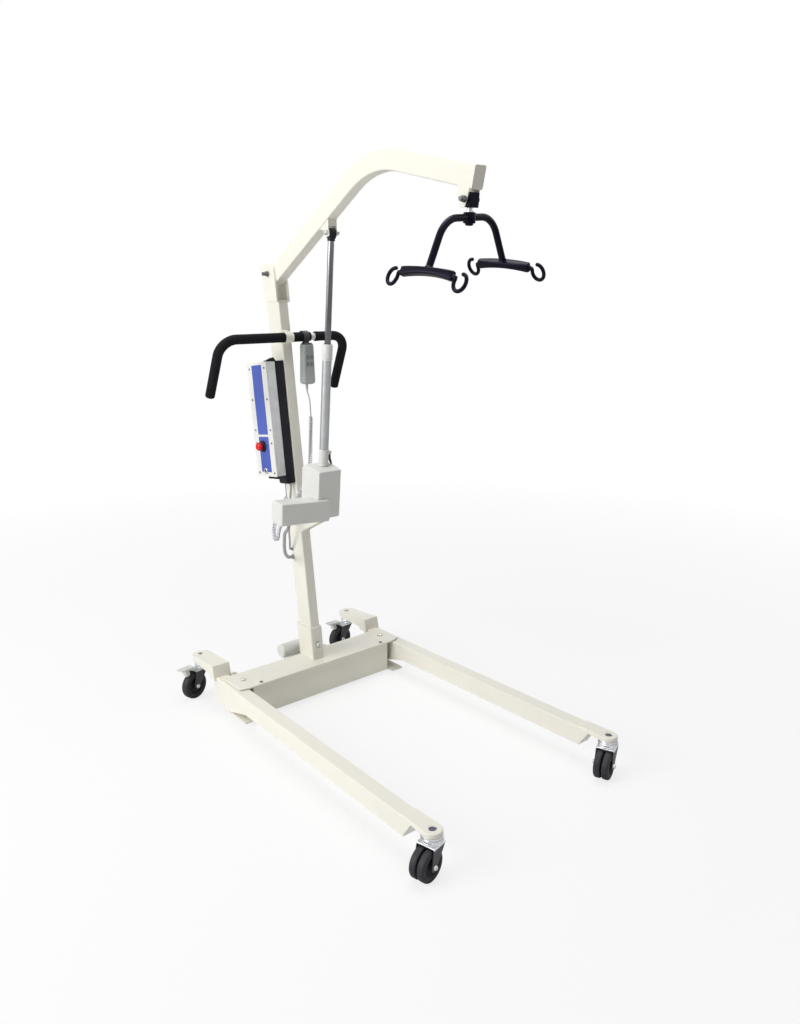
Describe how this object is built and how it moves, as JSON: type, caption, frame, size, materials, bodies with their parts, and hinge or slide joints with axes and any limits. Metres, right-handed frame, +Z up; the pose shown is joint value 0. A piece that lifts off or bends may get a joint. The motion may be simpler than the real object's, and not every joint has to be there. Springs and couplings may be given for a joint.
{
  "type": "patient lift",
  "caption": "Wheeled electric floor hoist with spreading legs, leaning mast, cranked boom, linear actuator, curly-cord handset and a hooked spreader bar.",
  "frame": {"origin": "on the floor, under the centre of the hoist's footprint", "axes": "+Z up, -Y forward (the way the legs and boom point), +X to the right-hand side as seen from the front of the picture"},
  "size_m": [0.8434, 1.3866, 1.8518],
  "materials": {
    "box_aluminium": "brushed",
    "button_dark": "soft touch",
    "cable_grey": "light grey sheath",
    "case_black": "matt black",
    "dark_bolt": "blackened",
    "foam_grip": "soft foam",
    "fork_black": "satin black",
    "frame_cream": "semi-gloss powder coat, off-white",
    "handset_grey": "matt grey",
    "housing_pale": "fine grain, light grey",
    "pedal_pale": "pale",
    "rod_chrome": "dark chrome",
    "spreader_black": "gloss black",
    "stop_red": "gloss red",
    "tube_aluminium": "anodised",
    "tyre_dark": "charcoal",
    "zinc_bolt": "zinc plated"
  },
  "bodies": {
    "base": {"cross_member": "frame_cream", "base_top_plate": "frame_cream", "leg_pivot_bolt_left": "dark_bolt", "leg_pivot_bolt_right": "dark_bolt", "mast_foot": "frame_cream", "mast_tube": "frame_cream", "mast_head_fork": "frame_cream", "boom_pivot_bolt": "zinc_bolt", "actuator_foot_bracket": "frame_cream", "actuator_foot_pin": "dark_bolt", "handle_clamp": "frame_cream", "handle_bar": "frame_cream", "grip_left": "foam_grip", "grip_right": "foam_grip", "grip_right_inner": "foam_grip", "control_box_housing": "box_aluminium", "control_box_panel": "frame_cream", "battery_pack": "case_black", "handset_body": "handset_grey", "handset_cord": "cable_grey", "lift_motor_cable": "cable_grey", "leg_drive_cable": "cable_grey", "drive_bracket": "frame_cream"},
    "emergency_stop": {"emergency_stop_button": "stop_red"},
    "actuator": {"gear_housing": "housing_pale", "motor_housing": "housing_pale", "lower_collar": "housing_pale", "actuator_outer_tube": "tube_aluminium", "upper_collar": "housing_pale"},
    "release_lever": {"release_lever": "case_black"},
    "rod": {"actuator_rod": "rod_chrome", "rod_end": "case_black"},
    "boom": {"boom_tube": "frame_cream", "boom_actuator_bracket": "frame_cream", "hanger_bolt": "zinc_bolt"},
    "hanger": {"hanger_block": "spreader_black"},
    "spreader": {"spreader_tube": "spreader_black", "hook_bar_left": "spreader_black", "hook_bar_right": "spreader_black"},
    "leg_left": {"leg_left": "frame_cream"},
    "leg_right": {"leg_right": "frame_cream"},
    "drive_body": {"drive_body": "housing_pale"},
    "drive_rod": {"drive_rod": "zinc_bolt"},
    "cross_link": {"cross_link": "zinc_bolt"},
    "button_boom_up": {"button_boom_up": "button_dark"},
    "button_legs_open": {"button_legs_open": "button_dark"},
    "button_boom_down": {"button_boom_down": "button_dark"},
    "button_legs_close": {"button_legs_close": "button_dark"},
    "front_fork_left": {"front_fork_left": "fork_black"},
    "front_wheel_left_rear": {"front_wheel_left_rear": "tyre_dark"},
    "front_wheel_left_front": {"front_wheel_left_front": "tyre_dark"},
    "rear_fork_left": {"rear_fork_left": "fork_black"},
    "rear_wheel_left": {"rear_wheel_left": "tyre_dark"},
    "brake_pedal_left": {"brake_pedal_left": "pedal_pale"},
    "front_fork_right": {"front_fork_right": "fork_black"},
    "front_wheel_right_rear": {"front_wheel_right_rear": "tyre_dark"},
    "front_wheel_right_front": {"front_wheel_right_front": "tyre_dark"},
    "rear_fork_right": {"rear_fork_right": "fork_black"},
    "rear_wheel_right": {"rear_wheel_right": "tyre_dark"},
    "brake_pedal_right": {"brake_pedal_right": "pedal_pale"}
  },
  "joints": [
    {"name": "boom_lift", "type": "hinge", "parent": "base", "child": "boom", "pos_m": [0.02506, 0.59824, 1.514], "axis": [-1, 0, 0], "range_deg": [-51, 2]},
    {"name": "actuator_tilt", "type": "hinge", "parent": "base", "child": "actuator", "pos_m": [0.02506, 0.34624, 0.683], "axis": [1, 0, 0], "range_deg": [-3, 3]},
    {"name": "rod_slide", "type": "slide", "parent": "actuator", "child": "rod", "axis": [0, -0.0966, 0.9953], "range_m": [-0.3167, 0.0143]},
    {"name": "release_lever_pull", "type": "hinge", "parent": "actuator", "child": "release_lever", "pos_m": [0.04686, 0.3232, 0.92038], "axis": [0, -0.9953, -0.0966], "range_deg": [0, 20], "stiffness_Nm_per_rad": 0.02, "springref_deg": -20.05},
    {"name": "emergency_stop_press", "type": "slide", "parent": "base", "child": "emergency_stop", "axis": [1, 0, 0], "range_m": [0, 0.004], "stiffness_N_per_m": 400, "springref_m": -0.002},
    {"name": "press_boom_up", "type": "slide", "parent": "base", "child": "button_boom_up", "axis": [0, 1, 0], "range_m": [0, 0.001], "stiffness_N_per_m": 300, "springref_m": -0.001},
    {"name": "press_legs_open", "type": "slide", "parent": "base", "child": "button_legs_open", "axis": [0, 1, 0], "range_m": [0, 0.001], "stiffness_N_per_m": 300, "springref_m": -0.001},
    {"name": "press_boom_down", "type": "slide", "parent": "base", "child": "button_boom_down", "axis": [0, 1, 0], "range_m": [0, 0.001], "stiffness_N_per_m": 300, "springref_m": -0.001},
    {"name": "press_legs_close", "type": "slide", "parent": "base", "child": "button_legs_close", "axis": [0, 1, 0], "range_m": [0, 0.001], "stiffness_N_per_m": 300, "springref_m": -0.001},
    {"name": "leg_spread_left", "type": "hinge", "parent": "base", "child": "leg_left", "pos_m": [-0.28344, 0.40824, 0.128], "axis": [0, 0, -1], "range_deg": [-1.3, 13]},
    {"name": "leg_spread_right", "type": "hinge", "parent": "base", "child": "leg_right", "pos_m": [0.33356, 0.40824, 0.128], "axis": [0, 0, 1], "range_deg": [-1.35, 13.05]},
    {"name": "drive_tilt", "type": "hinge", "parent": "base", "child": "drive_body", "pos_m": [0.13006, 0.50824, 0.107], "axis": [0, 0, 1], "range_deg": [-0.41, 1.42]},
    {"name": "drive_extend", "type": "slide", "parent": "drive_body", "child": "drive_rod", "axis": [-1, -0.0012, 0], "range_m": [-0.0228, 0.0032]},
    {"name": "cross_link_turn", "type": "hinge", "parent": "leg_left", "child": "cross_link", "pos_m": [-0.28439, 0.36825, 0.07], "axis": [0, 0, 1], "range_deg": [-1.58, 13.07]},
    {"name": "hanger_swing", "type": "hinge", "parent": "boom", "child": "hanger", "pos_m": [0.02506, -0.36576, 1.69], "axis": [1, 0, 0], "range_deg": [-60, 40]},
    {"name": "spreader_swivel", "type": "hinge", "parent": "hanger", "child": "spreader", "pos_m": [0.02706, -0.36278, 1.65871], "axis": [-0.0637, -0.0946, 0.9935], "continuous": true},
    {"name": "front_swivel_left", "type": "hinge", "parent": "leg_left", "child": "front_fork_left", "pos_m": [-0.34196, -0.64697, 0.0935], "axis": [0, 0, 1], "continuous": true},
    {"name": "spin_front_wheel_left_rear", "type": "hinge", "parent": "front_fork_left", "child": "front_wheel_left_rear", "pos_m": [-0.37151, -0.64022, 0.045], "axis": [0.2079, -0.9781, 0], "continuous": true},
    {"name": "spin_front_wheel_left_front", "type": "hinge", "parent": "front_fork_left", "child": "front_wheel_left_front", "pos_m": [-0.36621, -0.66516, 0.045], "axis": [0.2079, -0.9781, 0], "continuous": true},
    {"name": "front_swivel_right", "type": "hinge", "parent": "leg_right", "child": "front_fork_right", "pos_m": [0.39208, -0.64697, 0.0935], "axis": [0, 0, 1], "continuous": true},
    {"name": "spin_front_wheel_right_rear", "type": "hinge", "parent": "front_fork_right", "child": "front_wheel_right_rear", "pos_m": [0.36188, -0.6444, 0.045], "axis": [0.342, -0.9397, 0], "continuous": true},
    {"name": "spin_front_wheel_right_front", "type": "hinge", "parent": "front_fork_right", "child": "front_wheel_right_front", "pos_m": [0.3706, -0.66836, 0.045], "axis": [0.342, -0.9397, 0], "continuous": true},
    {"name": "rear_swivel_left", "type": "hinge", "parent": "leg_left", "child": "rear_fork_left", "pos_m": [-0.31098, 0.66026, 0.106], "axis": [0, 0, 1], "continuous": true},
    {"name": "spin_rear_wheel_left", "type": "hinge", "parent": "rear_fork_left", "child": "rear_wheel_left", "pos_m": [-0.35327, 0.64813, 0.05], "axis": [0.2756, -0.9613, 0], "continuous": true},
    {"name": "brake_left", "type": "hinge", "parent": "rear_fork_left", "child": "brake_pedal_left", "pos_m": [-0.36096, 0.64593, 0.12], "axis": [0.2756, -0.9613, 0], "range_deg": [0, 14]},
    {"name": "rear_swivel_right", "type": "hinge", "parent": "leg_right", "child": "rear_fork_right", "pos_m": [0.36109, 0.66026, 0.106], "axis": [0, 0, 1], "continuous": true},
    {"name": "spin_rear_wheel_right", "type": "hinge", "parent": "rear_fork_right", "child": "rear_wheel_right", "pos_m": [0.31726, 0.65643, 0.05], "axis": [0.0872, -0.9962, 0], "continuous": true},
    {"name": "brake_right", "type": "hinge", "parent": "rear_fork_right", "child": "brake_pedal_right", "pos_m": [0.30929, 0.65573, 0.12], "axis": [0.0872, -0.9962, 0], "range_deg": [0, 14]}
  ],
  "couplings": [
    {"joint": "actuator_tilt", "follows": "boom_lift", "ratio": 0.004369},
    {"joint": "rod_slide", "follows": "boom_lift", "m_per_rad": 0.3535},
    {"joint": "leg_spread_right", "follows": "leg_spread_left", "ratio": 1},
    {"joint": "drive_tilt", "follows": "leg_spread_left", "ratio": 0.08641},
    {"joint": "drive_extend", "follows": "leg_spread_left", "m_per_rad": -0.095973},
    {"joint": "cross_link_turn", "follows": "leg_spread_left", "ratio": 0.98259}
  ]
}
